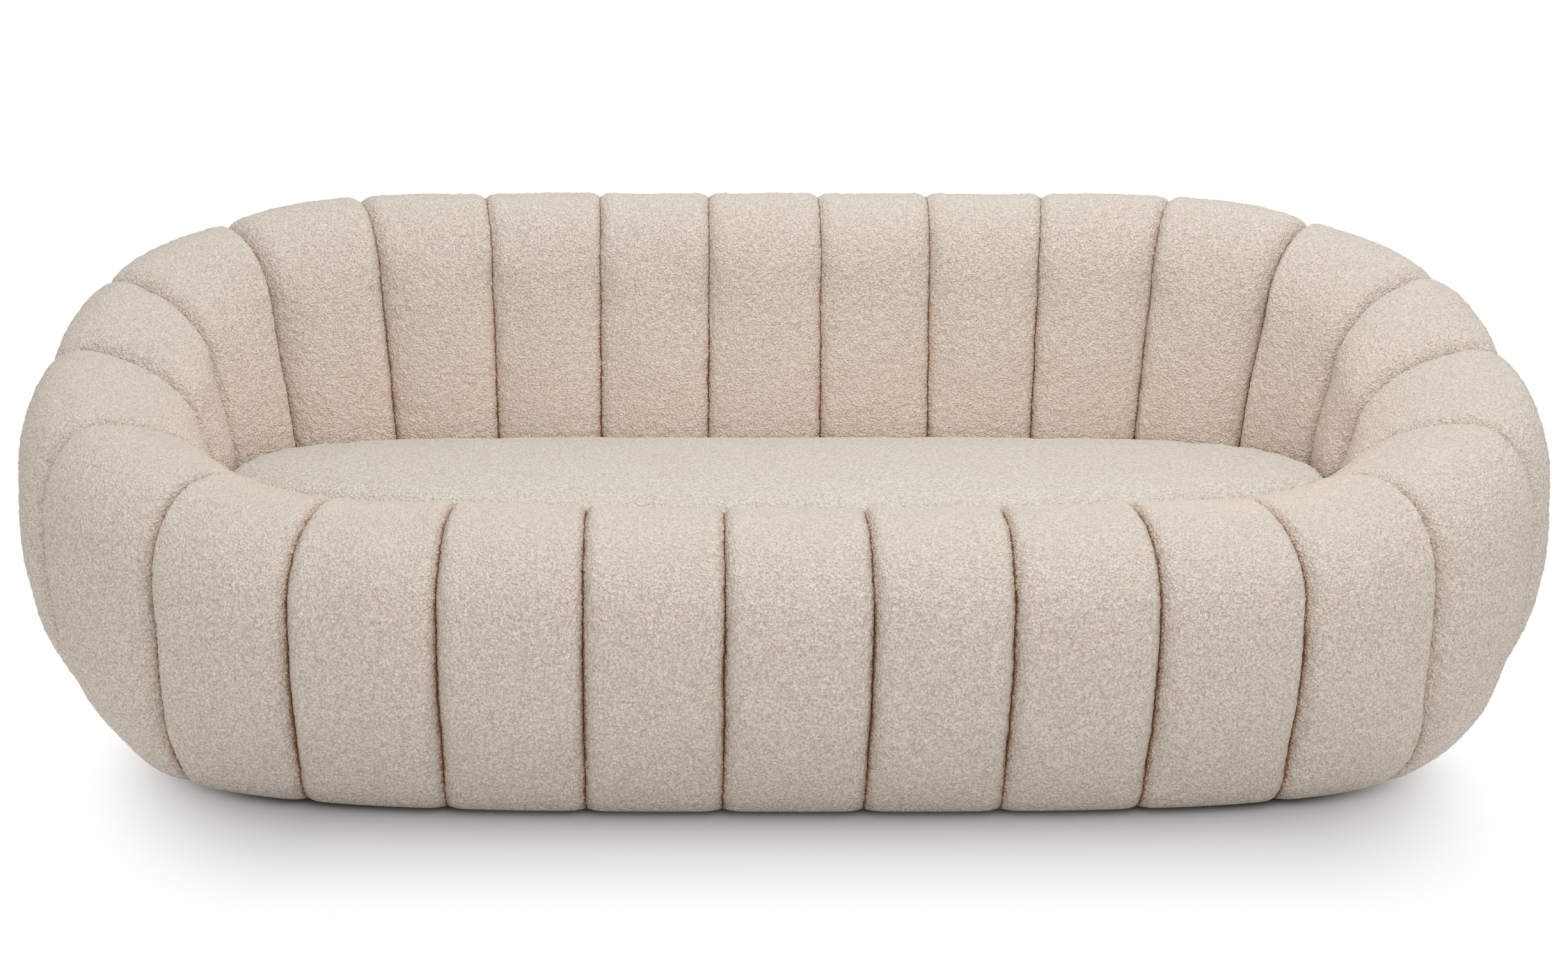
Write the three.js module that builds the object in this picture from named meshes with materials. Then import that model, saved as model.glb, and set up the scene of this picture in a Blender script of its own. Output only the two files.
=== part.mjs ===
// Curved channel-tufted sofa: an oval ring of padded channels over a plywood frame,
// round a fitted oval seat. Millimetres, +Z up, the front towards -Y, and the origin
// on the floor under the middle. Nothing on it moves.
import * as THREE from "three";

// Overall sizes
const WIDTH = 2390;
const DEPTH = 1080;
const BACK_HEIGHT = 830;
const FRONT_HEIGHT = 434;
const SEAT_HEIGHT = 411;

// Padded ring, measured from the edge of the seat to the outer face
const FRONT_THICKNESS = 262;
const BACK_THICKNESS = 224;
const ARM_THICKNESS = 301;
const PAD_FLOOR_GAP = 6;
const FRONT_TUCK = 56;
const BACK_TUCK = 40;
const SIDE_TUCK = 172;
const FOOT_ROUND = 14;
const FRONT_TOP_DROP = 148;
const BACK_TOP_DROP = 165;
const BACK_LEAN = 44;
const FRONT_VALLEY_DEPTH = 20;
const BACK_VALLEY_DEPTH = 13;
const SIDE_VALLEY_DEPTH = 38;
const SEAM_GAP = 0.8;
const FIT_GAP = 0.3;

// Frame: plywood, hardboard and the height of each level
const PLY = 18;
const HARDBOARD = 3;
const GLIDE_HEIGHT = 12;
const GLIDE_RADIUS = 24;
const GLIDE_CHAMFER = 3;
const DUST_COVER = 1;
const DECK_HEIGHT = 250;
const TOP_PAD_THICKNESS = 108;
const INNER_PAD_THICKNESS = 66;
const FOOT_PAD_THICKNESS = 20;
const PANEL_TOP_GAP = 1;
const BASE_RING_INWARD = 45;
const SEAT_RING_INWARD = 75;
const LEDGE_INWARD = 62;
const RIB_TOP_GAP = 2;
const CENTRE_RAIL_DIP = 95;
const CENTRE_RAIL_RAMP = 60;

// Webbing, foam and seat cushion
const WEB_WIDTH = 70;
const WEB_THICKNESS = 1.5;
const WEB_LANDING = 50;
const WEB_EASE = 30;
const CUSHION_SIDE_GAP = 3;
const CUSHION_DRAW_IN = 9;
const CUSHION_EDGE_ROUND = 22;
const CUSHION_CROWN = 10;
const CUSHION_CROWN_WIDTH = 90;

// Plan curves: superellipses, and how far out each seam stands as a share of the half
// width, from the middle of the front (or back) towards the end
const OUTER_FRONT_SQUARENESS = 2.6;
const OUTER_BACK_SQUARENESS = 2.75;
const FOOT_FRONT_SQUARENESS = 3.5;
const FOOT_BACK_SQUARENESS = 2.8;
const SEAT_FRONT_SQUARENESS = 2.2;
const SEAT_BACK_SQUARENESS = 3.6;
const FRONT_OUTER_SEAM_SHARES = [0.083, 0.246, 0.416, 0.597, 0.774, 0.938];
const BACK_OUTER_SEAM_SHARES = [0.083, 0.249, 0.434, 0.635, 0.837, 0.976];
const FRONT_SEAT_SEAM_SHARES = [0.107, 0.327, 0.53, 0.706, 0.845, 0.952];
const BACK_SEAT_SEAM_SHARES = [0.111, 0.327, 0.531, 0.726, 0.903, 0.994];
const CURVE_STEPS = 1200;
const SEARCH_STEPS = 30;

// Where the rim starts and ends its rise, as shares of the way from front to back
const RISE_START_SHARE = 0.258;
const RISE_END_SHARE = 0.764;

// Shares of a section: of its thickness, its height or the depth of a valley
const FRONT_CREST_SHARE = 0.43;
const SIDE_CREST_SHARE = 0.76;
const BACK_CREST_SHARE = 0.7;
const BULGE_HEIGHT_SHARE = 0.465;
const TUCK_ROUNDNESS = 1.65;
const FRAME_LEAN_SHARE = 0.4;
const GLIDE_PLACE_SHARE = 0.62;
const CROSS_WEB_PITCH_SHARE = 0.325;
const LONG_WEB_PLACE_SHARE = 0.175;
const FOAM_SHARE = 0.58;
const FOOT_VALLEY_SHARE = 0.35;
const TOP_VALLEY_SHARE = 0.75;
const SEAT_VALLEY_SHARE = 0.6;
const CROWN_SQUARENESS = 2.9;
const ACROSS_SHARES = [0, 0.06, 0.25, 0.5, 0.75, 0.94, 1];
const ARCH_STEPS = 8;
const TUCK_STEPS = 4;
const GLIDE_SIDES = 16;
const RAMP_STEPS = 6;

const mix = THREE.MathUtils.lerp;

const CHANNELS = 4 * FRONT_OUTER_SEAM_SHARES.length + 2;
const HALF_WAY = CHANNELS / 2;
const STATIONS = 2 * CHANNELS;
const RIB_SEAMS = [1.5, 3.5, 5.5, 7.5, 9.5, 11.5];
const GLIDE_TURNS = [2.5, 6.5, 10.5];
const CROSS_WEBS = [-2, -1, 0, 1, 2];

const seatHalfWidth = WIDTH / 2 - ARM_THICKNESS;
const seatFrontY = FRONT_THICKNESS - DEPTH / 2;
const seatBackY = DEPTH / 2 - BACK_THICKNESS;
const footHalfWidth = WIDTH / 2 - SIDE_TUCK;
const footFront = [FRONT_TUCK - DEPTH / 2, FOOT_FRONT_SQUARENESS];
const footBack = [DEPTH / 2 - BACK_TUCK, FOOT_BACK_SQUARENESS];
const seatRingBottom = DECK_HEIGHT - PLY;
const dustCoverBottom = GLIDE_HEIGHT + FIT_GAP;
const baseRingBottom = dustCoverBottom + DUST_COVER + FIT_GAP;
const baseRingTop = baseRingBottom + PLY;
const padInnerBottom = DECK_HEIGHT + FIT_GAP;
const webBottom = DECK_HEIGHT + FIT_GAP;
const webStep = WEB_THICKNESS + FIT_GAP;
const foamBottom = webBottom + 2 * webStep;
const foamTop = mix(foamBottom, SEAT_HEIGHT, FOAM_SHARE);
const cushionBottom = foamTop + FIT_GAP;

const upholstery = new THREE.MeshStandardMaterial({ color: 0xd9cdbd, roughness: 0.95, metalness: 0 });
const foam = new THREE.MeshStandardMaterial({ color: 0xe8dca8, roughness: 0.9, metalness: 0 });
const plywood = new THREE.MeshStandardMaterial({ color: 0xc9a574, roughness: 0.7, metalness: 0 });
const hardboard = new THREE.MeshStandardMaterial({ color: 0x8a6238, roughness: 0.8, metalness: 0 });
const webbing = new THREE.MeshStandardMaterial({ color: 0x3b3a38, roughness: 0.9, metalness: 0 });
const liner = new THREE.MeshStandardMaterial({ color: 0x1d1d1e, roughness: 0.95, metalness: 0 });
const plastic = new THREE.MeshStandardMaterial({ color: 0x222222, roughness: 0.5, metalness: 0 });

// An oval in plan, walked from the middle of the front (turn 0) round the right end
// (a quarter of the channels) to the middle of the back, and home by the left end.
// Whole turns are the middles of channels and halves are the seams.
class PlanCurve {
  constructor(halfWidth, front, back, frontShares, backShares) {
    this.points = [];
    this.lengths = [0];
    for (let i = 0; i <= 2 * CURVE_STEPS; i++) {
      const angle = (Math.PI / 2) * (i / CURVE_STEPS - 1);
      const [reach, squareness] = angle < 0 ? front : back;
      const power = 2 / squareness;
      const x = halfWidth * Math.max(Math.cos(angle), 0) ** power;
      const y = reach * Math.abs(Math.sin(angle)) ** power;
      this.points.push(new THREE.Vector2(x, y));
      if (i) this.lengths.push(this.lengths[i - 1] + this.points[i].distanceTo(this.points[i - 1]));
    }
    const walk = (share, first, step) => {
      let i = first;
      while (this.points[i].x < share * halfWidth) i += step;
      return this.lengths[i];
    };
    this.marks = [[0, 0]];
    frontShares.forEach((share, i) => this.marks.push([i + 0.5, walk(share, 0, 1)]));
    this.marks.push([HALF_WAY / 2, this.lengths[CURVE_STEPS]]);
    backShares
      .map((share, i) => [HALF_WAY - i - 0.5, walk(share, 2 * CURVE_STEPS, -1)])
      .reverse()
      .forEach((mark) => this.marks.push(mark));
    this.marks.push([HALF_WAY, this.lengths[2 * CURVE_STEPS]]);
  }

  at(turn) {
    const whole = THREE.MathUtils.euclideanModulo(turn, CHANNELS);
    const side = whole > HALF_WAY ? -1 : 1;
    const half = side > 0 ? whole : CHANNELS - whole;
    let m = 1;
    while (this.marks[m][0] < half) m++;
    const [turnA, lengthA] = this.marks[m - 1];
    const [turnB, lengthB] = this.marks[m];
    const length = mix(lengthA, lengthB, (half - turnA) / (turnB - turnA));
    let low = 0;
    let high = this.lengths.length - 1;
    while (high - low > 1) {
      const middle = (low + high) >> 1;
      if (this.lengths[middle] < length) low = middle;
      else high = middle;
    }
    const part = (length - this.lengths[low]) / (this.lengths[high] - this.lengths[low]);
    const point = this.points[low].clone().lerp(this.points[high], part);
    point.x *= side;
    return point;
  }
}

const outerCurve = new PlanCurve(
  WIDTH / 2,
  [-DEPTH / 2, OUTER_FRONT_SQUARENESS],
  [DEPTH / 2, OUTER_BACK_SQUARENESS],
  FRONT_OUTER_SEAM_SHARES,
  BACK_OUTER_SEAM_SHARES,
);
const seatCurve = new PlanCurve(
  seatHalfWidth,
  [seatFrontY, SEAT_FRONT_SQUARENESS],
  [seatBackY, SEAT_BACK_SQUARENESS],
  FRONT_SEAT_SEAM_SHARES,
  BACK_SEAT_SEAM_SHARES,
);

// The upright section plane at a turn: where the seat's edge is, which way is out, how
// thick the ring is there and how high it stands.
function sectionAt(turn) {
  const seat = seatCurve.at(turn);
  const across = outerCurve.at(turn).sub(seat);
  const thickness = across.length();
  const out = across.divideScalar(thickness);
  const whole = THREE.MathUtils.euclideanModulo(turn, CHANNELS);
  const wayBack = (whole > HALF_WAY ? CHANNELS - whole : whole) / HALF_WAY;
  const rise = THREE.MathUtils.smoothstep(wayBack, RISE_START_SHARE, RISE_END_SHARE);
  return { seat, out, thickness, rise, height: mix(FRONT_HEIGHT, BACK_HEIGHT, rise) };
}

// A value that passes from the front's to the back's with the rim's rise, and to the
// sides' where the section looks endwise.
const roundTheRing = ({ out, rise }, front, back, side) => mix(mix(front, back, rise), side, out.x ** 2);

// A point of a section plane: reach is measured outwards from the edge of the seat.
function place(section, reach, z) {
  const { seat, out } = section;
  return new THREE.Vector3(seat.x + out.x * reach, seat.y + out.y * reach, z);
}

// How far the foot of the padding stands in from the outer face: the foot follows an oval
// of its own, which each section plane meets somewhere between the seat and that face.
function tuckOf({ seat, out, thickness }) {
  const isInside = (reach) => {
    const y = seat.y + out.y * reach;
    const [depth, squareness] = y < 0 ? footFront : footBack;
    const across = Math.abs(seat.x + out.x * reach) / footHalfWidth;
    return across ** squareness + Math.abs(y / depth) ** squareness < 1;
  };
  let low = 0;
  let high = thickness;
  for (let i = 0; i < SEARCH_STEPS; i++) {
    const middle = mix(low, high, 0.5);
    if (isInside(middle)) low = middle;
    else high = middle;
  }
  return thickness - low;
}

// The cavity for the frame inside the padding: its inner and outer face and its top.
const frameInner = (section) => INNER_PAD_THICKNESS + FRAME_LEAN_SHARE * BACK_LEAN * section.rise;
const frameOuter = (section) => section.thickness - tuckOf(section) - FOOT_ROUND - FOOT_PAD_THICKNESS;
const frameTop = (section) => section.height - TOP_PAD_THICKNESS;

// A closed solid through rings of equal count: capped at both ends, or joined round.
// The caps are cut from flat, the first ring as plain 2-D points.
function loft(rings, flat) {
  const count = rings[0].length;
  const positions = rings.flat().flatMap((p) => [p.x, p.y, p.z]);
  const index = [];
  const bands = flat ? rings.length - 1 : rings.length;
  for (let i = 0; i < bands; i++) {
    const a = i * count;
    const b = ((i + 1) % rings.length) * count;
    for (let j = 0; j < count; j++) {
      const next = (j + 1) % count;
      index.push(a + j, a + next, b + next, a + j, b + next, b + j);
    }
  }
  if (flat) {
    const last = (rings.length - 1) * count;
    for (const [p, q, r] of THREE.ShapeUtils.triangulateShape(flat, [])) {
      index.push(r, q, p, last + p, last + q, last + r);
    }
  }
  const geometry = new THREE.BufferGeometry();
  geometry.setAttribute("position", new THREE.Float32BufferAttribute(positions, 3));
  geometry.setIndex(index);
  return facingOut(geometry);
}

// Turns every face round if the solid came out inside out.
function facingOut(geometry) {
  const { array } = geometry.index;
  const p = geometry.attributes.position;
  const corner = [new THREE.Vector3(), new THREE.Vector3(), new THREE.Vector3()];
  let volume = 0;
  for (let i = 0; i < array.length; i += 3) {
    corner.forEach((v, j) => v.fromBufferAttribute(p, array[i + j]));
    volume += corner[0].dot(corner[1].clone().cross(corner[2]));
  }
  if (volume < 0) {
    for (let i = 0; i < array.length; i += 3) [array[i], array[i + 1]] = [array[i + 1], array[i]];
  }
  geometry.computeVertexNormals();
  return geometry;
}

const sofa = new THREE.Group();

function add(name, geometry, material) {
  const mesh = new THREE.Mesh(geometry, material);
  mesh.name = name;
  sofa.add(mesh);
  return mesh;
}

// Padded channels

// The crown line of a section, from the foot up the outer face, over the top and down
// to the deck, as [reach, z, share of the valley's depth] points.
function crownLine(section) {
  const { thickness, rise, height } = section;
  const tuck = tuckOf(section);
  const drop = mix(FRONT_TOP_DROP, BACK_TOP_DROP, rise);
  const crestShare = roundTheRing(section, FRONT_CREST_SHARE, BACK_CREST_SHARE, SIDE_CREST_SHARE);
  const crest = thickness * crestShare;
  const lean = BACK_LEAN * rise;
  const shoulder = height - drop;
  const line = [[thickness - tuck - FOOT_ROUND, PAD_FLOOR_GAP, FOOT_VALLEY_SHARE]];
  for (let i = 0; i < TUCK_STEPS; i++) {
    const way = i / TUCK_STEPS;
    const z = mix(PAD_FLOOR_GAP + FOOT_ROUND, height * BULGE_HEIGHT_SHARE, way);
    const valley = mix(FOOT_VALLEY_SHARE, 1, Math.min(2 * way, 1));
    line.push([thickness - tuck * (1 - way) ** TUCK_ROUNDNESS, z, valley]);
  }
  line.push([thickness, height * BULGE_HEIGHT_SHARE, 1]);
  for (let i = 0; i <= ARCH_STEPS; i++) {
    const angle = (Math.PI * i) / ARCH_STEPS;
    const reach = Math.cos(angle) > 0 ? thickness - crest : crest - lean;
    const valley = mix(1, TOP_VALLEY_SHARE, Math.sin(angle));
    line.push([crest + reach * Math.cos(angle), height - drop * (1 - Math.sin(angle)), valley]);
  }
  for (const way of [1 / 3, 2 / 3, 1]) {
    const z = mix(shoulder, padInnerBottom, way);
    const leaning = Math.max(z - SEAT_HEIGHT, 0) / Math.max(shoulder - SEAT_HEIGHT, BACK_LEAN);
    line.push([lean * leaning, z, mix(1, SEAT_VALLEY_SHARE, way)]);
  }
  return line;
}

// The crown line drawn in towards the frame by the depth of the valley at the seams.
function skinLine(section, across) {
  const crown = (1 - Math.abs(2 * across - 1) ** CROWN_SQUARENESS) ** (1 / CROWN_SQUARENESS);
  const line = crownLine(section);
  const deepest = roundTheRing(section, FRONT_VALLEY_DEPTH, BACK_VALLEY_DEPTH, SIDE_VALLEY_DEPTH);
  return line.map(([reach, z, valley], i) => {
    const before = line[Math.max(i - 1, 0)];
    const after = line[Math.min(i + 1, line.length - 1)];
    const along = new THREE.Vector2(after[0] - before[0], after[1] - before[1]).normalize();
    const depth = deepest * valley * (1 - crown);
    const flat = i === 0 || i === line.length - 1;
    return new THREE.Vector2(reach - along.y * depth, flat ? z : z + along.x * depth);
  });
}

// The frame's cavity in a section, from the deck up and over to the foot.
function cavityLine(section) {
  const top = frameTop(section);
  return [
    [frameInner(section), padInnerBottom],
    [frameInner(section), top],
    [frameOuter(section), top],
    [frameOuter(section), PAD_FLOOR_GAP],
  ];
}

// Corners of a section at a turn, on the straight way from one station to the next.
function straightRing(turn, corners) {
  const first = Math.floor(2 * turn) / 2;
  const [near, far] = [first, first + 0.5].map((station) => {
    const section = sectionAt(station);
    return corners(section).map(([reach, z]) => place(section, reach, z));
  });
  return near.map((p, i) => p.clone().lerp(far[i], 2 * (turn - first)));
}

function channelGeometry(channel) {
  let flat;
  const rings = ACROSS_SHARES.map((across) => {
    const turn = channel - 0.5 + across;
    const section = sectionAt(turn);
    const skin = skinLine(section, across);
    flat ??= [...skin, ...cavityLine(section).map(([r, z]) => new THREE.Vector2(r, z))];
    const ring = [...skin.map((p) => place(section, p.x, p.y)), ...straightRing(turn, cavityLine)];
    const inwards = across === 0 ? SEAM_GAP / 2 : across === 1 ? -SEAM_GAP / 2 : 0;
    const aside = new THREE.Vector3(-section.out.y, section.out.x, 0).multiplyScalar(inwards);
    return ring.map((p) => p.add(aside));
  });
  return loft(rings, flat);
}

function channelName(channel) {
  const half = Math.min(channel, CHANNELS - channel);
  const side = channel === half ? "right" : "left";
  if (channel === 0) return "channel_front_middle";
  if (half === HALF_WAY) return "channel_back_middle";
  const number = String(half).padStart(2, "0");
  const front = Math.floor(HALF_WAY * RISE_START_SHARE) + 1;
  if (half <= front) return `channel_front_${side}_${number}`;
  return half >= HALF_WAY - front ? `channel_back_${side}_${number}` : `channel_arm_${side}_${number}`;
}

for (let channel = 0; channel < CHANNELS; channel++) {
  add(channelName(channel), channelGeometry(channel), upholstery);
}

// Frame rings and panels

// A ring whose section at each station is the given corners; stations stand at the
// given shares of every channel's width.
function ringGeometry(corners, shares = [0, 0.5]) {
  const rings = [];
  for (let channel = 0; channel < CHANNELS; channel++) {
    for (const share of shares) rings.push(straightRing(channel + 0.5 + share, corners));
  }
  return loft(rings);
}

const slab = (inner, outer, bottom, top) => [
  [inner, top],
  [outer, top],
  [outer, bottom],
  [inner, bottom],
];

// The faces of the hardboard panels that the ribs stand against.
const innerPanelBack = (section) => frameInner(section) + FIT_GAP + HARDBOARD;
const outerPanelBack = (section) => frameOuter(section) - FIT_GAP - HARDBOARD;

const baseRing = (section) =>
  slab(-BASE_RING_INWARD, frameOuter(section) - FIT_GAP, baseRingBottom, baseRingTop);

const seatRing = (section) =>
  slab(-SEAT_RING_INWARD, innerPanelBack(section), seatRingBottom, DECK_HEIGHT);

const railTop = (section) => frameTop(section) - FIT_GAP;
const railBottom = (section) => railTop(section) - PLY;
const rimRail = (section) => {
  const inner = frameInner(section) + FIT_GAP;
  const outer = frameOuter(section) - FIT_GAP;
  return slab(inner, outer, railBottom(section), railTop(section));
};

const innerPanel = (section) => {
  const back = innerPanelBack(section);
  return slab(back - HARDBOARD, back, DECK_HEIGHT + FIT_GAP, railBottom(section) - PANEL_TOP_GAP);
};

const outerPanel = (section) => {
  const back = outerPanelBack(section);
  return slab(back, back + HARDBOARD, baseRingTop + FIT_GAP, railBottom(section) - PANEL_TOP_GAP);
};

add("base_ring", ringGeometry(baseRing), plywood);
add("seat_ring", ringGeometry(seatRing), plywood);
add("rim_rail", ringGeometry(rimRail, ACROSS_SHARES.slice(0, -1)), plywood);
add("inner_panel", ringGeometry(innerPanel), hardboard);
add("outer_panel", ringGeometry(outerPanel), hardboard);

// Ribs: plywood plates across the ring, with a ledge that carries the seat ring

// What a measure of the ring's sections is along the width of a rib: at its middle, and
// at its two faces, as it runs straight to the next station on either side. The measure
// gives a point's reach and height.
function alongRib(turn, measure) {
  const section = sectionAt(turn);
  const out = new THREE.Vector3(section.out.x, section.out.y, 0);
  const aside = new THREE.Vector3(-section.out.y, section.out.x, 0);
  const [reach, z] = measure(section);
  const points = [[reach, z]];
  for (const step of [-0.5, 0.5]) {
    const next = sectionAt(turn + step);
    const way = place(next, ...measure(next)).sub(place(section, reach, z));
    way.multiplyScalar(PLY / 2 / Math.abs(way.dot(aside)));
    points.push([reach + way.dot(out), z + way.z]);
  }
  return points;
}

function ribGeometry(turn) {
  const section = sectionAt(turn);
  const aside = new THREE.Vector3(-section.out.y, section.out.x, 0);
  const innerFace = alongRib(turn, (at) => [innerPanelBack(at), railBottom(at)]);
  const outerFace = alongRib(turn, (at) => [outerPanelBack(at), railBottom(at)]);
  const inner = Math.max(...innerFace.map((p) => p[0])) + FIT_GAP;
  const outer = Math.min(...outerFace.map((p) => p[0])) - FIT_GAP;
  const top = Math.min(...innerFace.concat(outerFace).map((p) => p[1])) - RIB_TOP_GAP;
  const outline = [
    [-LEDGE_INWARD, baseRingTop + FIT_GAP],
    [outer, baseRingTop + FIT_GAP],
    [outer, top],
    [inner, top],
    [inner, seatRingBottom - FIT_GAP],
    [-LEDGE_INWARD, seatRingBottom - FIT_GAP],
  ];
  const rings = [-PLY / 2, PLY / 2].map((shift) =>
    outline.map(([reach, z]) => place(section, reach, z).addScaledVector(aside, shift)),
  );
  return loft(rings, outline.map(([r, z]) => new THREE.Vector2(r, z)));
}

RIB_SEAMS.forEach((seam, i) => {
  const number = String(i + 1).padStart(2, "0");
  add(`rib_right_${number}`, ribGeometry(seam), plywood);
  add(`rib_left_${number}`, ribGeometry(CHANNELS - seam), plywood);
});

// Centre rail: stands on the base ring front and back, carries the seat ring at both
// ends and dips under the webbing
function centreRailGeometry() {
  const front = sectionAt(0);
  const back = sectionAt(HALF_WAY);
  const clear = FIT_GAP + HARDBOARD + FIT_GAP;
  const frontEnd = front.seat.y - frameOuter(front) + clear;
  const backEnd = back.seat.y + frameOuter(back) - clear;
  const frontRing = front.seat.y + SEAT_RING_INWARD;
  const backRing = back.seat.y - SEAT_RING_INWARD;
  const top = seatRingBottom - FIT_GAP;
  const dip = top - CENTRE_RAIL_DIP;
  const shape = new THREE.Shape();
  shape.moveTo(frontEnd, baseRingTop + FIT_GAP);
  shape.lineTo(backEnd, baseRingTop + FIT_GAP);
  shape.lineTo(backEnd, top);
  shape.lineTo(backRing, top);
  shape.quadraticCurveTo(backRing, dip, backRing - CENTRE_RAIL_RAMP, dip);
  shape.lineTo(frontRing + CENTRE_RAIL_RAMP, dip);
  shape.quadraticCurveTo(frontRing, dip, frontRing, top);
  shape.lineTo(frontEnd, top);
  const plate = { depth: PLY, bevelEnabled: false, curveSegments: RAMP_STEPS };
  const geometry = new THREE.ExtrudeGeometry(shape, plate);
  geometry.translate(0, 0, -PLY / 2);
  geometry.rotateX(Math.PI / 2);
  geometry.rotateZ(Math.PI / 2);
  return geometry;
}

add("centre_rail", centreRailGeometry(), plywood);

// Dust cover, stapled under the base ring, and the glides below it

const dustCoverRings = [dustCoverBottom, dustCoverBottom + DUST_COVER].map((z) => {
  const ring = [];
  for (let i = 0; i < STATIONS; i++) {
    const section = sectionAt(i / 2);
    ring.push(place(section, frameOuter(section) - PLY / 2, z));
  }
  return ring;
});
const plainPoints = (ring) => ring.map((p) => new THREE.Vector2(p.x, p.y));
add("dust_cover", loft(dustCoverRings, plainPoints(dustCoverRings[0])), liner);

function glideGeometry() {
  const profile = [
    new THREE.Vector2(0, 0),
    new THREE.Vector2(GLIDE_RADIUS - GLIDE_CHAMFER, 0),
    new THREE.Vector2(GLIDE_RADIUS, GLIDE_CHAMFER),
    new THREE.Vector2(GLIDE_RADIUS, GLIDE_HEIGHT),
    new THREE.Vector2(0, GLIDE_HEIGHT),
  ];
  return new THREE.LatheGeometry(profile, GLIDE_SIDES).rotateX(Math.PI / 2);
}

GLIDE_TURNS.forEach((turn, i) => {
  for (const [side, at] of [["right", turn], ["left", CHANNELS - turn]]) {
    const glide = add(`glide_${side}_${i + 1}`, glideGeometry(), plastic);
    const section = sectionAt(at);
    const reach = mix(-BASE_RING_INWARD, frameOuter(section), GLIDE_PLACE_SHARE);
    glide.position.copy(place(section, reach, 0));
  }
});

// Webbing: straps from front to back on the seat ring, and two long straps woven
// through them

const crossWebPitch = seatHalfWidth * CROSS_WEB_PITCH_SHARE;
const seatMiddleY = (seatFrontY + seatBackY) / 2;
const longWebOffset = (seatBackY - seatFrontY) * LONG_WEB_PLACE_SHARE;

// A flat strap along a polyline of [distance, height] points.
function strapGeometry(points, across) {
  const rings = points.map(([along, z]) =>
    [
      [-WEB_WIDTH / 2, z],
      [WEB_WIDTH / 2, z],
      [WEB_WIDTH / 2, z + WEB_THICKNESS],
      [-WEB_WIDTH / 2, z + WEB_THICKNESS],
    ].map(([side, height]) => across(along, side, height)),
  );
  const flat = [
    new THREE.Vector2(-WEB_WIDTH, 0),
    new THREE.Vector2(WEB_WIDTH, 0),
    new THREE.Vector2(WEB_WIDTH, WEB_THICKNESS),
    new THREE.Vector2(-WEB_WIDTH, WEB_THICKNESS),
  ];
  return loft(rings, flat);
}

// The point of the seat's edge, walked to from a turn until the test holds.
function seatEdge(turn, step, test) {
  let at = turn;
  while (!test(seatCurve.at(at))) at += step / CURVE_STEPS;
  return seatCurve.at(at);
}

for (const number of CROSS_WEBS) {
  const x = number * crossWebPitch;
  const outside = Math.abs(x) + WEB_WIDTH / 2;
  const wide = (p) => p.x >= outside;
  const front = seatEdge(0, 1, wide).y + SEAT_RING_INWARD - WEB_LANDING;
  const back = seatEdge(HALF_WAY, -1, wide).y - SEAT_RING_INWARD + WEB_LANDING;
  const points = [
    [front, webBottom],
    [back, webBottom],
  ];
  const strap = strapGeometry(points, (along, side, z) => new THREE.Vector3(x + side, along, z));
  add(`cross_web_${number - CROSS_WEBS[0] + 1}`, strap, webbing);
}

for (const side of [-1, 1]) {
  const y = seatMiddleY + side * longWebOffset;
  const deep = (p) => side * (p.y - y) >= WEB_WIDTH / 2;
  const end = seatEdge(HALF_WAY / 2, side, deep).x - SEAT_RING_INWARD + WEB_LANDING;
  const points = [[-end, webBottom]];
  CROSS_WEBS.forEach((number, i) => {
    const over = (i % 2 === 0) === side < 0;
    const z = over ? webBottom + webStep : webBottom - webStep;
    const x = number * crossWebPitch;
    const half = WEB_WIDTH / 2 + WEB_EASE / 2;
    points.push([x - half - WEB_EASE, webBottom], [x - half, z]);
    points.push([x + half, z], [x + half + WEB_EASE, webBottom]);
  });
  points.push([end, webBottom]);
  const strap = strapGeometry(points, (along, width, z) => new THREE.Vector3(along, y + width, z));
  add(side < 0 ? "long_web_front" : "long_web_back", strap, webbing);
}

// Seat: a foam slab on the webbing and a crowned cushion on the foam

function seatRingAt(inward, z) {
  const ring = [];
  for (let i = 0; i < STATIONS; i++) ring.push(place(sectionAt(i / 2), -inward, z));
  return ring;
}

const foamRings = [foamBottom, foamTop].map((z) => seatRingAt(CUSHION_SIDE_GAP + CUSHION_DRAW_IN, z));
add("seat_foam", loft(foamRings, plainPoints(foamRings[0])), foam);

const cushionWaist = (cushionBottom + SEAT_HEIGHT) / 2;
const cushionRings = [
  [CUSHION_SIDE_GAP + CUSHION_EDGE_ROUND, cushionBottom],
  [CUSHION_SIDE_GAP, cushionBottom + CUSHION_EDGE_ROUND / 2],
  [CUSHION_SIDE_GAP + CUSHION_DRAW_IN / 2, cushionWaist],
  [CUSHION_SIDE_GAP, SEAT_HEIGHT - CUSHION_EDGE_ROUND / 2],
  [CUSHION_SIDE_GAP + CUSHION_EDGE_ROUND / 2, SEAT_HEIGHT],
  [CUSHION_CROWN_WIDTH, SEAT_HEIGHT + CUSHION_CROWN / 2],
  [2 * CUSHION_CROWN_WIDTH, SEAT_HEIGHT + CUSHION_CROWN],
].map(([inward, z]) => seatRingAt(inward, z));
add("seat_cushion", loft(cushionRings, plainPoints(cushionRings.at(-1))), upholstery);

export default sofa;
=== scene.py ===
"""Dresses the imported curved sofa: padded channels, seat, carcass, studio, light and camera."""

import logging
import math
from collections import defaultdict
from collections.abc import Iterable, Iterator, Mapping
from contextlib import contextmanager
from dataclasses import dataclass, field
from enum import Enum

import bmesh
import bpy
import numpy as np
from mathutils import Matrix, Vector, noise


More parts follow.
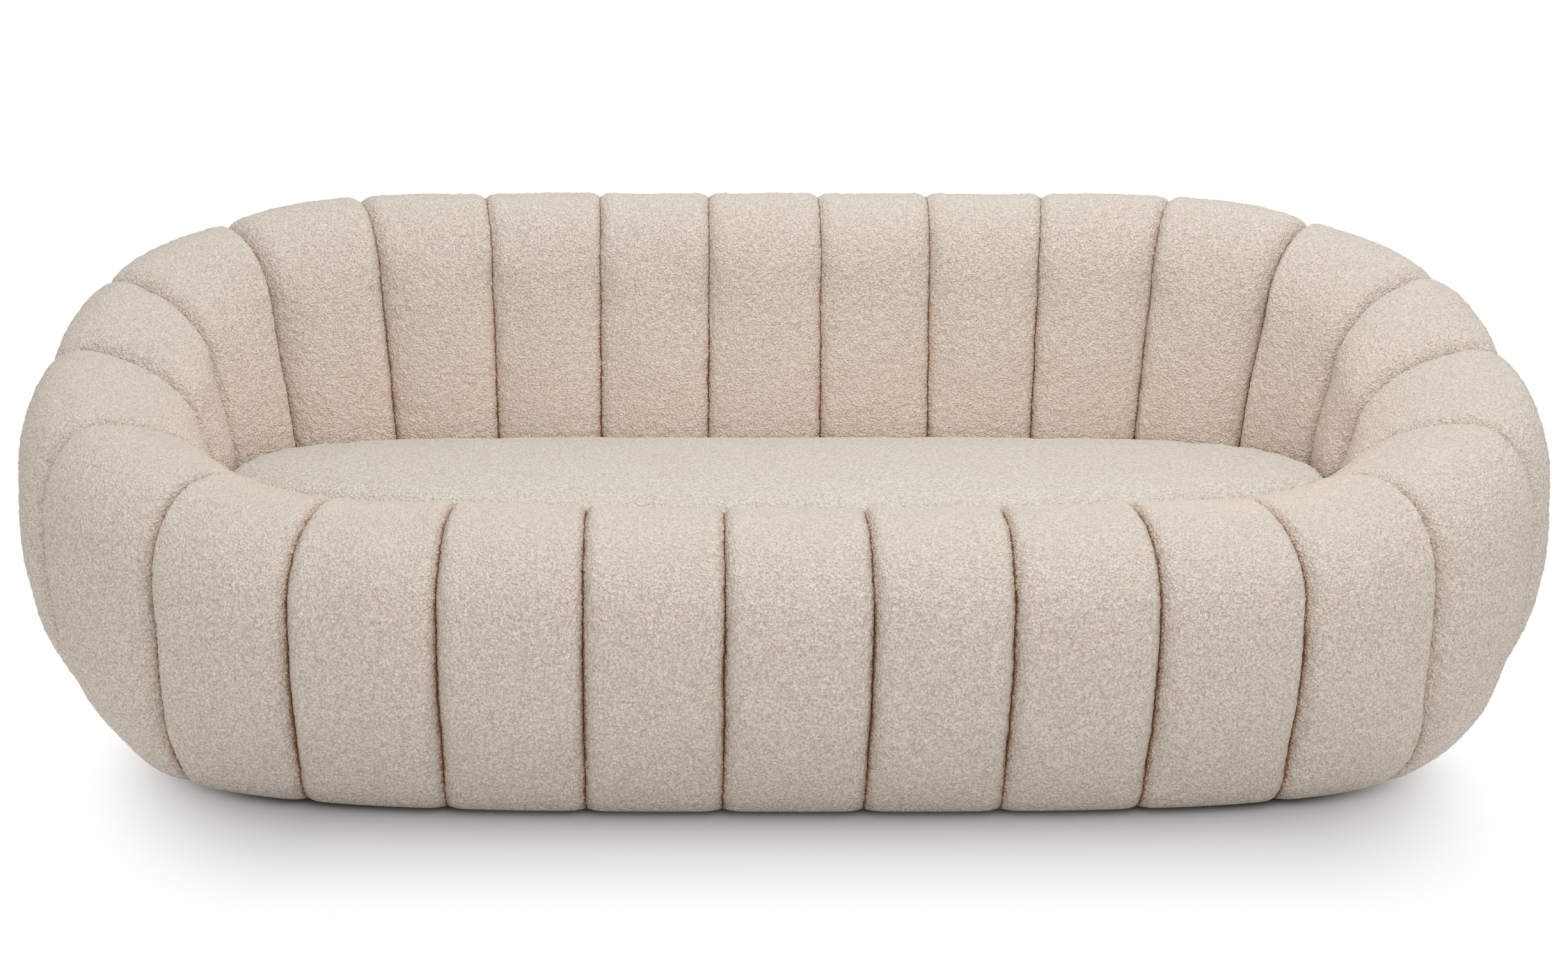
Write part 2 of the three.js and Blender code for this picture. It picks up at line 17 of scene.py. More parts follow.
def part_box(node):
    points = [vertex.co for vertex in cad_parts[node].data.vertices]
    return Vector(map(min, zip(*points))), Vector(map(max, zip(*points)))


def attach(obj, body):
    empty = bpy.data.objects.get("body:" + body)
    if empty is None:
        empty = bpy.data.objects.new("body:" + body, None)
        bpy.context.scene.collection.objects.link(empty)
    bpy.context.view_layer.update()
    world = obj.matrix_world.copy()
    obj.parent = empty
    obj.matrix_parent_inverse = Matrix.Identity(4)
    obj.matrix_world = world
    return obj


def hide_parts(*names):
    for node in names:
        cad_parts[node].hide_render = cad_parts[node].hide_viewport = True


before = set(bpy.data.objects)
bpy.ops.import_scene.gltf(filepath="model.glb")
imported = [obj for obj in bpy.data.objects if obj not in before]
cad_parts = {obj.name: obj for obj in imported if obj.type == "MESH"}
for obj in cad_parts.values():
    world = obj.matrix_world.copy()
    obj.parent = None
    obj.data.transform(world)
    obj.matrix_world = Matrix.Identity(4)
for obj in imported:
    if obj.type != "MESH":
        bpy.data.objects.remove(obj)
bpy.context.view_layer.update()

log = logging.getLogger("curved_sofa")

Colour = tuple[float, float, float]
Point = tuple[float, float, float]
Span = tuple[float, float]

BODY = "root"
STUFFING_SEED = 5
TINY = 1e-9

# Corners closer than MERGE_DISTANCE are one. Two faces are flat together where their normals'
# product is at least ALIKE and their corners lie within FLATNESS of one plane, in metres.
MERGE_DISTANCE = 2e-5
ALIKE = 0.9999
FLATNESS = 5e-5

# Each channel's CAD solid is lofted through rings, and the last corners of a ring line its cavity.
RING_CORNERS = 22
CAVITY_CORNERS = 4


# Shader building


class Wire:
    """A shader socket that can stand in Python expressions."""

    def __init__(self, graph: "Graph", socket: bpy.types.NodeSocket) -> None:
        """Keeps the socket and the node tree that it belongs to."""
        self.graph = graph
        self.socket = socket

    def is_vector(self) -> bool:
        """Tells whether the socket carries three numbers."""
        return self.socket.type in {"VECTOR", "RGBA"}

    def __add__(self, other: "Value") -> "Wire":
        """Adds a value."""
        return self.graph.maths("ADD", self, other)

    __radd__ = __add__

    def __sub__(self, other: "Value") -> "Wire":
        """Takes a value away."""
        return self.graph.maths("SUBTRACT", self, other)

    def __rsub__(self, other: "Value") -> "Wire":
        """Is taken away from a value."""
        return self.graph.maths("SUBTRACT", other, self)

    def __mul__(self, other: "Value") -> "Wire":
        """Multiplies by a value."""
        if self.is_vector() and isinstance(other, (int, float)):
            other = (other, other, other)
        return self.graph.maths("MULTIPLY", self, other)

    __rmul__ = __mul__

    def ramp(self, low: "Value", high: "Value") -> "Wire":
        """Rises smoothly from 0 at low to 1 at high."""
        inputs = {"Value": self, "From Min": low, "From Max": high}
        settings = {"interpolation_type": "SMOOTHSTEP"}
        return self.graph.add("ShaderNodeMapRange", settings, inputs)["Result"]


Value = Wire | float | tuple


class Made:
    """The outputs of one shader node."""

    def __init__(self, graph: "Graph", node: bpy.types.Node) -> None:
        """Keeps the node and its node tree."""
        self.graph = graph
        self.node = node

    def __getitem__(self, key: str | int) -> Wire:
        """Gives an output by its name or its place."""
        return Wire(self.graph, self.node.outputs[key])


class Graph:
    """A node tree under construction."""

    def __init__(self, tree: bpy.types.NodeTree) -> None:
        """Empties the tree."""
        self.tree = tree
        self.tree.nodes.clear()

    def add(
        self, kind: str, settings: Mapping[str, object], inputs: Mapping[str | int, Value]
    ) -> Made:
        """Adds one node.

        Args:
            kind: The node's type.
            settings: Its properties, set first.
            inputs: Numbers, tuples or wires for its sockets, by name or place.

        Returns:
            The node's outputs.
        """
        node = self.tree.nodes.new(kind)
        for key, value in settings.items():
            setattr(node, key, value)
        for key, value in inputs.items():
            socket = node.inputs[key]
            if isinstance(value, Wire):
                self.tree.links.new(value.socket, socket)
            elif socket.type == "RGBA" and len(value) == 3:
                socket.default_value = (*value, 1)
            else:
                socket.default_value = value
        return Made(self, node)

    def maths(self, operation: str, *values: Value) -> Wire:
        """Adds a Math node, or a Vector Math node where a value is a vector.

        Args:
            operation: The node's operation.
            values: The node's inputs, in order.

        Returns:
            The node's first output.
        """
        vector = any(
            value.is_vector() if isinstance(value, Wire) else isinstance(value, tuple)
            for value in values
        )
        kind = "ShaderNodeVectorMath" if vector else "ShaderNodeMath"
        return self.add(kind, {"operation": operation}, dict(enumerate(values)))[0]

    def place(self) -> Wire:
        """Gives the point's place on the object."""
        return self.add("ShaderNodeTexCoord", {}, {})["Object"]

    def axes(self, place: Wire) -> Made:
        """Splits a place into its X, Y and Z."""
        return self.add("ShaderNodeSeparateXYZ", {}, {0: place})

    def stretched(self, place: Wire, scale: Point) -> Wire:
        """Scales a place along each axis."""
        return self.add("ShaderNodeMapping", {}, {"Vector": place, "Scale": scale})[0]

    def from_middle(self, place: Wire, straight: float, haste: float = 1.0) -> Wire:
        """Measures how far a point lies from the straight middle line of an oval.

        Args:
            place: The point.
            straight: Half the length of the line.
            haste: How much faster the distance grows past the line's ends.

        Returns:
            The distance in plan.
        """
        axes = self.axes(place)
        past = self.maths("MAXIMUM", self.maths("ABSOLUTE", axes["X"]) - straight, 0.0) * haste
        ends = self.add("ShaderNodeCombineXYZ", {}, {0: past, 1: axes["Y"]})[0]
        return self.add("ShaderNodeVectorMath", {"operation": "LENGTH"}, {0: ends})["Value"]

    def attribute(self, name: str) -> Wire:
        """Reads a number that is stored on the mesh."""
        return self.add("ShaderNodeAttribute", {"attribute_name": name}, {})["Fac"]

    def noise(self, place: Wire, size: float, detail: float = 2, roughness: float = 0.5) -> Made:
        """Adds a noise whose grains are about size metres.

        Args:
            place: The point that it is read at.
            size: The grain in metres.
            detail: How many finer layers lie on it.
            roughness: How strong the finer layers are.

        Returns:
            The node's outputs.
        """
        inputs = {"Vector": place, "Scale": 1 / size, "Detail": detail, "Roughness": roughness}
        return self.add("ShaderNodeTexNoise", {}, inputs)

    def cells(self, place: Wire, size: float) -> Wire:
        """Adds cells of about size metres and gives the distance from their middles."""
        return self.add("ShaderNodeTexVoronoi", {}, {"Vector": place, "Scale": 1 / size})["Distance"]

    def mix(self, share: Value, first: Value, second: Value) -> Wire:
        """Mixes two colours.

        Args:
            share: How much of the second there is.
            first: A colour.
            second: A colour.

        Returns:
            The mixed colour.
        """
        settings = {"data_type": "RGBA"}
        return self.add("ShaderNodeMix", settings, {0: share, 6: first, 7: second})[2]

    def bump(self, height: Wire, distance: float, strength: float) -> Wire:
        """Turns a height into a normal."""
        inputs = {"Height": height, "Distance": distance, "Strength": strength}
        return self.add("ShaderNodeBump", {}, inputs)["Normal"]


class Shader(Graph):
    """A material under construction."""

    def __init__(self, name: str) -> None:
        """Starts an empty material of that name."""
        self.material = bpy.data.materials.new(name)
        self.material.use_nodes = True
        super().__init__(self.material.node_tree)

    def surface(self, inputs: Mapping[str, Value]) -> bpy.types.Material:
        """Ends the material with its Principled shader.

        Args:
            inputs: The shader's sockets.

        Returns:
            The finished material.
        """
        shader = self.add("ShaderNodeBsdfPrincipled", {}, inputs)
        self.add("ShaderNodeOutputMaterial", {}, {"Surface": shader[0]})
        return self.material


# Finishes


@dataclass(frozen=True)
class Boucle:
    """Looped cream pile, with painted shade in the hollows between its loops, along its seams and on
    its tops, and painted bounce light low inside the ring.
    """

    name: str = "boucle_cloth"

    pile: Colour = (0.86, 0.775, 0.695)
    warm: Colour = (0.86, 0.765, 0.672)
    # Painted shade on the tops: a greyer, darker colour where the cloth faces up, toning down the
    # light that falls there.
    painted_top_shade: Colour = (0.53, 0.515, 0.475)
    # Painted shade: the grey-brown shadow in the crevices between the loops.
    hollow: Colour = (0.45, 0.35, 0.285)
    # Painted bounce light: a warm colour in the loop hollows low inside the ring.
    painted_bounce_light: Colour = (0.66, 0.46, 0.33)
    # Painted shade: a brown band beside each seam, where the groove between channels is shaded.
    halo_shade: Colour = (0.42, 0.245, 0.145)
    # Painted shade: the dark brown line in the crease between two channels.
    seam: Colour = (0.27, 0.115, 0.045)

    loop: float = 0.0026
    cell: float = 1.7
    curl: float = 1.9
    curl_width: float = 0.16
    swirl: float = 0.012
    swirl_reach: float = 1.2
    fibre: float = 0.0012
    clump: float = 0.02
    patch: float = 0.12
    patch_range: Span = (0.35, 0.7)

    relief: float = 0.0045
    grain_rise: float = 0.7
    loop_rise: float = 0.5
    curl_rise: float = 0.2
    fibre_rise: float = 0.12
    clump_rise: float = 0.3

    grain_depth: float = 0.6
    loop_depth: float = 0.4
    fibre_depth: float = 0.15
    depth_range: Span = (0.3, 0.85)
    # Share of the painted crevice shade between the loops; below it, how much the relief and that
    # shade soften where the cloth faces up.
    hollow_shade_share: float = 0.68
    crest_softening: float = 0.4
    # Share of the painted shade on the upward tops.
    top_shade_share: float = 0.42

    # Where the painted bounce light lies: inside the ring's oval, and low down.
    inside_straight: float = 0.575
    inside_radii: Span = (0.36, 0.42)
    inside_heights: Span = (0.45, 0.76)

    # Widths and shares of the painted seam shade, how it wanders, how it thins on the tops and how it
    # fades higher up.
    seam_core: float = 0.0046
    seam_shade: float = 0.017
    seam_line_shade_share: float = 0.95
    halo_shade_share: float = 0.42
    stray_clumps: float = 0.004
    stray_grains: float = 0.013
    stretch: float = 0.06
    stretch_range: Span = (0.3, 0.7)
    stretch_width: float = 0.0015
    bridged: float = 0.9
    faded_share: float = 0.45
    belly_foot: Span = (0.02, 0.1)
    belly_top: Span = (0.22, 0.34)
    belly_gain: float = 0.75

    roughness: float = 0.95
    gloss: float = 0.1
    sheen: float = 0.12
    sheen_roughness: float = 0.5
    sheen_tint: Colour = (0.95, 0.9, 0.84)

    def build(self) -> bpy.types.Material:
        """Makes the cloth.

        Returns:
            The material.
        """
        s = Shader(self.name)
        place = s.place()
        height = s.axes(place)["Z"]
        drift = s.noise(place, self.swirl, 1)["Color"] - (0.5, 0.5, 0.5)
        warped = place + drift * (self.loop * self.swirl_reach)
        grains = s.noise(warped, self.loop, 1)[0]
        loops = 1 - s.cells(warped, self.loop * self.cell)
        wave = s.noise(warped, self.loop * self.curl, 0)[0] - 0.5
        curls = 1 - s.maths("ABSOLUTE", wave).ramp(0.0, self.curl_width)
        fibres = s.noise(place, self.fibre, 1, 0.6)[0]
        clumps = s.noise(place, self.clump)[0]
        patches = s.noise(place, self.patch)[0]
        crest = s.attribute("crest")
        # Where the cloth faces up, the relief and the painted crevice shade are softened.
        raised = 1 - crest * self.crest_softening

        rise = grains * self.grain_rise + loops * self.loop_rise + curls * self.curl_rise
        rise = rise + fibres * self.fibre_rise + clumps * self.clump_rise
        top = grains * self.grain_depth + loops * self.loop_depth + fibres * self.fibre_depth
        depth = 1 - top.ramp(*self.depth_range)

        base = s.mix(patches.ramp(*self.patch_range), self.pile, self.warm)
        # Painted shade on the tops: greyer and darker where the cloth faces up.
        base = s.mix(crest * self.top_shade_share, base, self.painted_top_shade)
        # Painted warm bounce light in the hollows, inside the ring and low down.
        inside = 1 - s.from_middle(place, self.inside_straight).ramp(*self.inside_radii)
        low = 1 - height.ramp(*self.inside_heights)
        hollow = s.mix(inside * low, self.hollow, self.painted_bounce_light)
        # Painted shade in the crevices between the loops.
        cloth = s.mix(depth * raised * self.hollow_shade_share, base, hollow)

        # Painted shade along the seams: a dark line in the crease with a brown band beside it,
        # thinner on the tops and darker low down.
        tight = s.noise(place, self.stretch, 1)[0].ramp(*self.stretch_range)
        stray = (clumps - 0.5) * self.stray_clumps + (grains - 0.5) * self.stray_grains
        away = s.attribute("seam") + stray + tight * self.stretch_width
        deep = (1 - crest * self.bridged) * (low * self.faded_share + (1 - self.faded_share))
        belly = height.ramp(*self.belly_foot) - height.ramp(*self.belly_top)
        core = 1 - away.ramp(0.0, (belly * self.belly_gain + 1) * self.seam_core)
        shade = 1 - away.ramp(0.0, self.seam_shade)
        cloth = s.mix(shade * deep * self.halo_shade_share, cloth, self.halo_shade)
        cloth = s.mix(core * deep * self.seam_line_shade_share, cloth, self.seam)
        return s.surface(
            {
                "Base Color": cloth,
                "Roughness": self.roughness,
                "Specular IOR Level": self.gloss,
                "Sheen Weight": self.sheen,
                "Sheen Roughness": self.sheen_roughness,
                "Sheen Tint": self.sheen_tint,
                "Normal": s.bump(rise * raised, self.relief, 1.0),
            }
        )


SEAT_PILE = Boucle(
    name="seat_cloth",
    pile=(0.82, 0.78, 0.715),
    warm=(0.815, 0.765, 0.695),
    # The seat takes no painted bounce light: this colour matches its hollows.
    painted_bounce_light=(0.45, 0.35, 0.285),
    # No painted top shade on the seat.
    top_shade_share=0.0,
    loop=0.0032,
    # Strong painted crevice shade on the seat.
    hollow_shade_share=0.95,
    relief=0.0065,
)


@dataclass(frozen=True)
class Plywood:
    """Pale birch plywood with fine grain and thin dark glue lines."""

    name: str = "birch_plywood"
    pale: Colour = (0.62, 0.46, 0.28)
    dark: Colour = (0.42, 0.27, 0.14)
    glue: Colour = (0.16, 0.09, 0.045)
    glue_width: float = 0.16
    glue_share: float = 0.35
    veneer: float = 0.0018
    across: Point = (1, 12, 1)
    grain: float = 0.05
    grain_range: Span = (0.3, 0.7)
    pore: float = 0.006
    pore_share: float = 0.6
    roughness: float = 0.5
    roughness_spread: float = 0.2
    relief: float = 0.0003

    def build(self) -> bpy.types.Material:
        """Makes the wood.

        Returns:
            The material.
        """
        s = Shader(self.name)
        place = s.place()
        long = s.stretched(place, self.across)
        grain = s.noise(long, self.grain, 5, 0.65)[0]
        pores = s.noise(long, self.pore)[0]
        layers = s.maths("PINGPONG", s.axes(place)["Z"] * (1 / self.veneer), 1.0)
        line = 1 - layers.ramp(0.0, self.glue_width)
        wood = s.mix(grain.ramp(*self.grain_range), self.pale, self.dark)
        wood = s.mix(line * self.glue_share, wood, self.glue)
        rise = grain * (1 - self.pore_share) + pores * self.pore_share
        return s.surface(
            {
                "Base Color": wood,
                "Roughness": pores * self.roughness_spread + self.roughness,
                "Normal": s.bump(rise, self.relief, 0.5),
            }
        )


@dataclass(frozen=True)
class Pressed:
    """A sheet made by pressing or spinning: hardboard, dust cover or foam."""

    name: str
    first: Colour
    second: Colour
    grain: float
    relief: float
    roughness: float
    stretch: Point = (1, 1, 1)
    pit: float = 1.6
    broad: float = 40
    fine_tone: float = 0.6
    pit_tone: float = 0.3
    broad_tone: float = 0.4
    tone_range: Span = (0.35, 0.9)
    roughness_spread: float = 0.15

    def build(self) -> bpy.types.Material:
        """Makes the sheet.

        Returns:
            The material.
        """
        s = Shader(self.name)
        place = s.place()
        drawn = s.stretched(place, self.stretch)
        fine = s.noise(drawn, self.grain, 4, 0.65)[0]
        pits = s.cells(drawn, self.grain * self.pit)
        broad = s.noise(place, self.grain * self.broad)[0]
        tone = fine * self.fine_tone + pits * self.pit_tone + broad * self.broad_tone
        return s.surface(
            {
                "Base Color": s.mix(tone.ramp(*self.tone_range), self.first, self.second),
                "Roughness": fine * self.roughness_spread + self.roughness,
                "Normal": s.bump((fine + pits) * 0.5, self.relief, 0.6),
            }
        )


class Sheet(Enum):
    """The sheets that close or fill the carcass."""

    HARDBOARD = Pressed(
        "hardboard",
        first=(0.2, 0.105, 0.045),
        second=(0.34, 0.2, 0.1),
        grain=0.0016,
        relief=0.0002,
        roughness=0.53,
    )
    LINER = Pressed(
        "spun_liner",
        first=(0.012, 0.012, 0.013),
        second=(0.045, 0.045, 0.047),
        grain=0.0022,
        relief=0.0004,
        roughness=0.83,
        stretch=(1, 2.5, 1),
    )
    FOAM = Pressed(
        "seat_foam_cells",
        first=(0.6, 0.5, 0.27),
        second=(0.82, 0.74, 0.48),
        grain=0.0016,
        relief=0.0006,
        roughness=0.83,
    )
    GLIDE = Pressed(
        "glide_plastic",
        first=(0.018, 0.018, 0.019),
        second=(0.035, 0.035, 0.037),
        grain=0.0009,
        relief=0.0001,
        roughness=0.38,
    )


@dataclass(frozen=True)
class Webbing:
    """Woven elastic strap with crossing ribs."""

    name: str = "elastic_webbing"
    warp: Colour = (0.11, 0.1, 0.09)
    weft: Colour = (0.03, 0.03, 0.03)
    pitch: float = 0.0026
    fuzz: float = 0.0012
    fuzz_tone: float = 0.3
    fuzz_rise: float = 0.2
    roughness: float = 0.75
    roughness_spread: float = 0.2
    relief: float = 0.0006

    def build(self) -> bpy.types.Material:
        """Makes the strap.

        Returns:
            The material.
        """
        s = Shader(self.name)
        place = s.place()
        axes = s.axes(place)
        turn = 2 * math.pi / self.pitch
        weave = s.maths("SINE", axes["X"] * turn) * s.maths("SINE", axes["Y"] * turn) * 0.5 + 0.5
        fuzz = s.noise(place, self.fuzz)[0]
        tone = weave * (1 - self.fuzz_tone) + fuzz * self.fuzz_tone
        rise = weave * (1 - self.fuzz_rise) + fuzz * self.fuzz_rise
        return s.surface(
            {
                "Base Color": s.mix(tone, self.weft, self.warp),
                "Roughness": fuzz * self.roughness_spread + self.roughness,
                "Normal": s.bump(rise, self.relief, 0.8),
            }
        )


@dataclass(frozen=True)
class Floor:
    """Grey studio floor round the sofa, fading out into the white around it: the real contact shadow
    falls on it, and the grey patch shaped to the footprint is painted shadow.
    """

    name: str = "studio_floor"
    pale: Colour = (0.54, 0.54, 0.54)
    worn: Colour = (0.53, 0.53, 0.53)
    patch: float = 0.8
    grain: float = 0.004
    roughness: float = 0.8
    roughness_spread: float = 0.1
    gloss: float = 0.1
    straight: float = 0.66
    round_end: float = 0.48
    end_haste: float = 1.9
    fade: Span = (-0.068, 0.34)

    def build(self) -> bpy.types.Material:
        """Makes the floor.

        Returns:
            The material.
        """
        s = Shader(self.name)
        place = s.place()
        # The fade follows the sofa's footprint and is narrower at the ends, making a painted shadow
        # round the base.
        away = s.from_middle(place, self.straight, self.end_haste) - self.round_end
        grain = s.noise(place, self.grain)[0]
        return s.surface(
            {
                "Base Color": s.mix(s.noise(place, self.patch)[0], self.pale, self.worn),
                "Roughness": grain * self.roughness_spread + self.roughness,
                "Specular IOR Level": self.gloss,
                "Alpha": 1 - away.ramp(*self.fade),
            }
        )


# Meshes


def activate(piece: bpy.types.Object) -> None:
    """Selects one piece alone and makes it the active one."""
    bpy.ops.object.select_all(action="DESELECT")
    piece.select_set(True)
    bpy.context.view_layer.objects.active = piece


def apply_modifier(piece: bpy.types.Object, kind: str, **settings: object) -> None:
    """Adds a modifier to a piece and applies it.

    Args:
        piece: The piece.
        kind: The modifier's type.
        settings: The modifier's properties.
    """
    modifier = piece.modifiers.new(kind.lower(), kind)
    for key, value in settings.items():
        setattr(modifier, key, value)
    activate(piece)
    bpy.ops.object.modifier_apply(modifier=modifier.name)


def roughen(
    piece: bpy.types.Object, grain: float, height: float, coloured: bool = False, **settings: object
) -> None:
    """Pushes a piece's points to and fro by a cloudy pattern.

    Args:
        piece: The piece.
        grain: The size of the pattern's grains in metres.
        height: How far a point may move either way.
        coloured: Whether each axis has its own pattern.
        settings: More of the Displace modifier's properties.
    """
    kind = "COLOR" if coloured else "GRAYSCALE"
    name = f"clouds_{kind}_{grain}"
    texture = bpy.data.textures.get(name) or bpy.data.textures.new(name, "CLOUDS")
    texture.noise_scale = grain
    texture.noise_depth = 1
    texture.cloud_type = kind
    places = {"texture_coords": "LOCAL", "strength": 2 * height, "mid_level": 0.5}
    apply_modifier(piece, "DISPLACE", texture=texture, **places, **settings)


@contextmanager
def edited(mesh: bpy.types.Mesh) -> Iterator[bmesh.types.BMesh]:
    """Opens a mesh for editing and writes it back.

    Args:
        mesh: The mesh.

    Yields:
        The mesh as it is edited.
    """
    shell = bmesh.new()
    shell.from_mesh(mesh)
    yield shell
    shell.to_mesh(mesh)
    shell.free()


def coordinates(piece: bpy.types.Object) -> np.ndarray:
    """Reads a piece's vertices as rows of three numbers."""
    flat = np.empty(3 * len(piece.data.vertices), np.float32)
    piece.data.vertices.foreach_get("co", flat)
    return flat.reshape(-1, 3).astype(float)


def set_coordinates(piece: bpy.types.Object, points: np.ndarray) -> None:
    """Writes a piece's vertices."""
    piece.data.vertices.foreach_set("co", points.astype(np.float32).ravel())
    piece.data.update()


def mark(piece: bpy.types.Object, name: str, values: np.ndarray) -> None:
    """Stores one number at each vertex, for the materials to read."""
    attribute = piece.data.attributes.new(name, "FLOAT", "POINT")
    attribute.data.foreach_set("value", values.astype(np.float32))


def drift_of(point: np.ndarray, grain: float, seed: float) -> np.ndarray:
    """Gives a smooth random push that neighbours share at one place.

    Args:
        point: The place.
        grain: How far apart two unlike pushes are, in metres.
        seed: Which of many patterns it is.

    Returns:
        A push of up to about 1 along each axis.
    """
    return np.array(noise.noise_vector(Vector(point / grain) + Vector((seed, seed, seed))))


def through(points: np.ndarray, knots: np.ndarray, at: np.ndarray) -> np.ndarray:
    """Reads a smooth curve that passes through its points.

    Args:
        points: The points along the first axis.
        knots: Where on the curve they stand.
        at: Where it is read.

    Returns:
        The points read, along the first axis.
    """
    wide = (-1,) + (1,) * (points.ndim - 1)
    step = np.diff(knots).reshape(wide)
    slope = np.diff(points, axis=0) / step
    inner = (slope[:-1] * step[1:] + slope[1:] * step[:-1]) / (step[:-1] + step[1:])
    first = 1.5 * slope[:1] - 0.5 * inner[:1]
    last = 1.5 * slope[-1:] - 0.5 * inner[-1:]
    tangent = np.concatenate([first, inner, last])
    i = np.clip(np.searchsorted(knots, at, side="right") - 1, 0, len(knots) - 2)
    h = step[i]
    t = ((at - knots[i]) / np.diff(knots)[i]).reshape(wide)
    start = (2 * t**3 - 3 * t**2 + 1) * points[i] + (t**3 - 2 * t**2 + t) * h * tangent[i]
    return start + (3 * t**2 - 2 * t**3) * points[i + 1] + (t**3 - t**2) * h * tangent[i + 1]


def spaced(
    points: np.ndarray, spacing: float, crowd: float = 0.0
) -> tuple[np.ndarray, np.ndarray]:
    """Finds where a net of points is cut into steps along its first axis.

    Args:
        points: The net.
        spacing: The mean step wanted, in metres.
        crowd: How much closer the steps are at both ends, as a share.

    Returns:
        The mean lengths at the net's rows, and the lengths of the cuts.
    """
    steps = np.linalg.norm(np.diff(points, axis=0), axis=2).mean(axis=1)
    knots = np.concatenate([[0], np.cumsum(steps)])
    count = max(2, round(knots[-1] / spacing))
    even = np.linspace(0, 1, count + 1)
    crowded = even - crowd * np.sin(2 * math.pi * even) / (2 * math.pi)
    return knots, knots[-1] * crowded


def seam_distance(grid: np.ndarray) -> np.ndarray:
    """Measures along the skin how far each point is from the nearer of its two seams."""
    steps = np.linalg.norm(np.diff(grid, axis=0), axis=2)
    walked = np.concatenate([np.zeros((1, grid.shape[1])), np.cumsum(steps, axis=0)])
    return np.minimum(walked, walked[-1:] - walked)


def normals_of(grid: np.ndarray) -> np.ndarray:
    """Gives a skin's outward directions."""
    across = np.gradient(grid, axis=0)
    along = np.gradient(grid, axis=1)
    normals = np.cross(across, along)
    normals /= np.linalg.norm(normals, axis=2, keepdims=True)
    middle = grid.shape[0] // 2
    top = int(np.argmax(grid[middle, :, 2]))
    return normals * np.sign(normals[middle, top, 2])


def crest_of(grid: np.ndarray) -> np.ndarray:
    """Says how much each point of a skin faces upwards, from 0 to 1."""
    return np.clip(normals_of(grid)[..., 2], 0, 1) ** 2


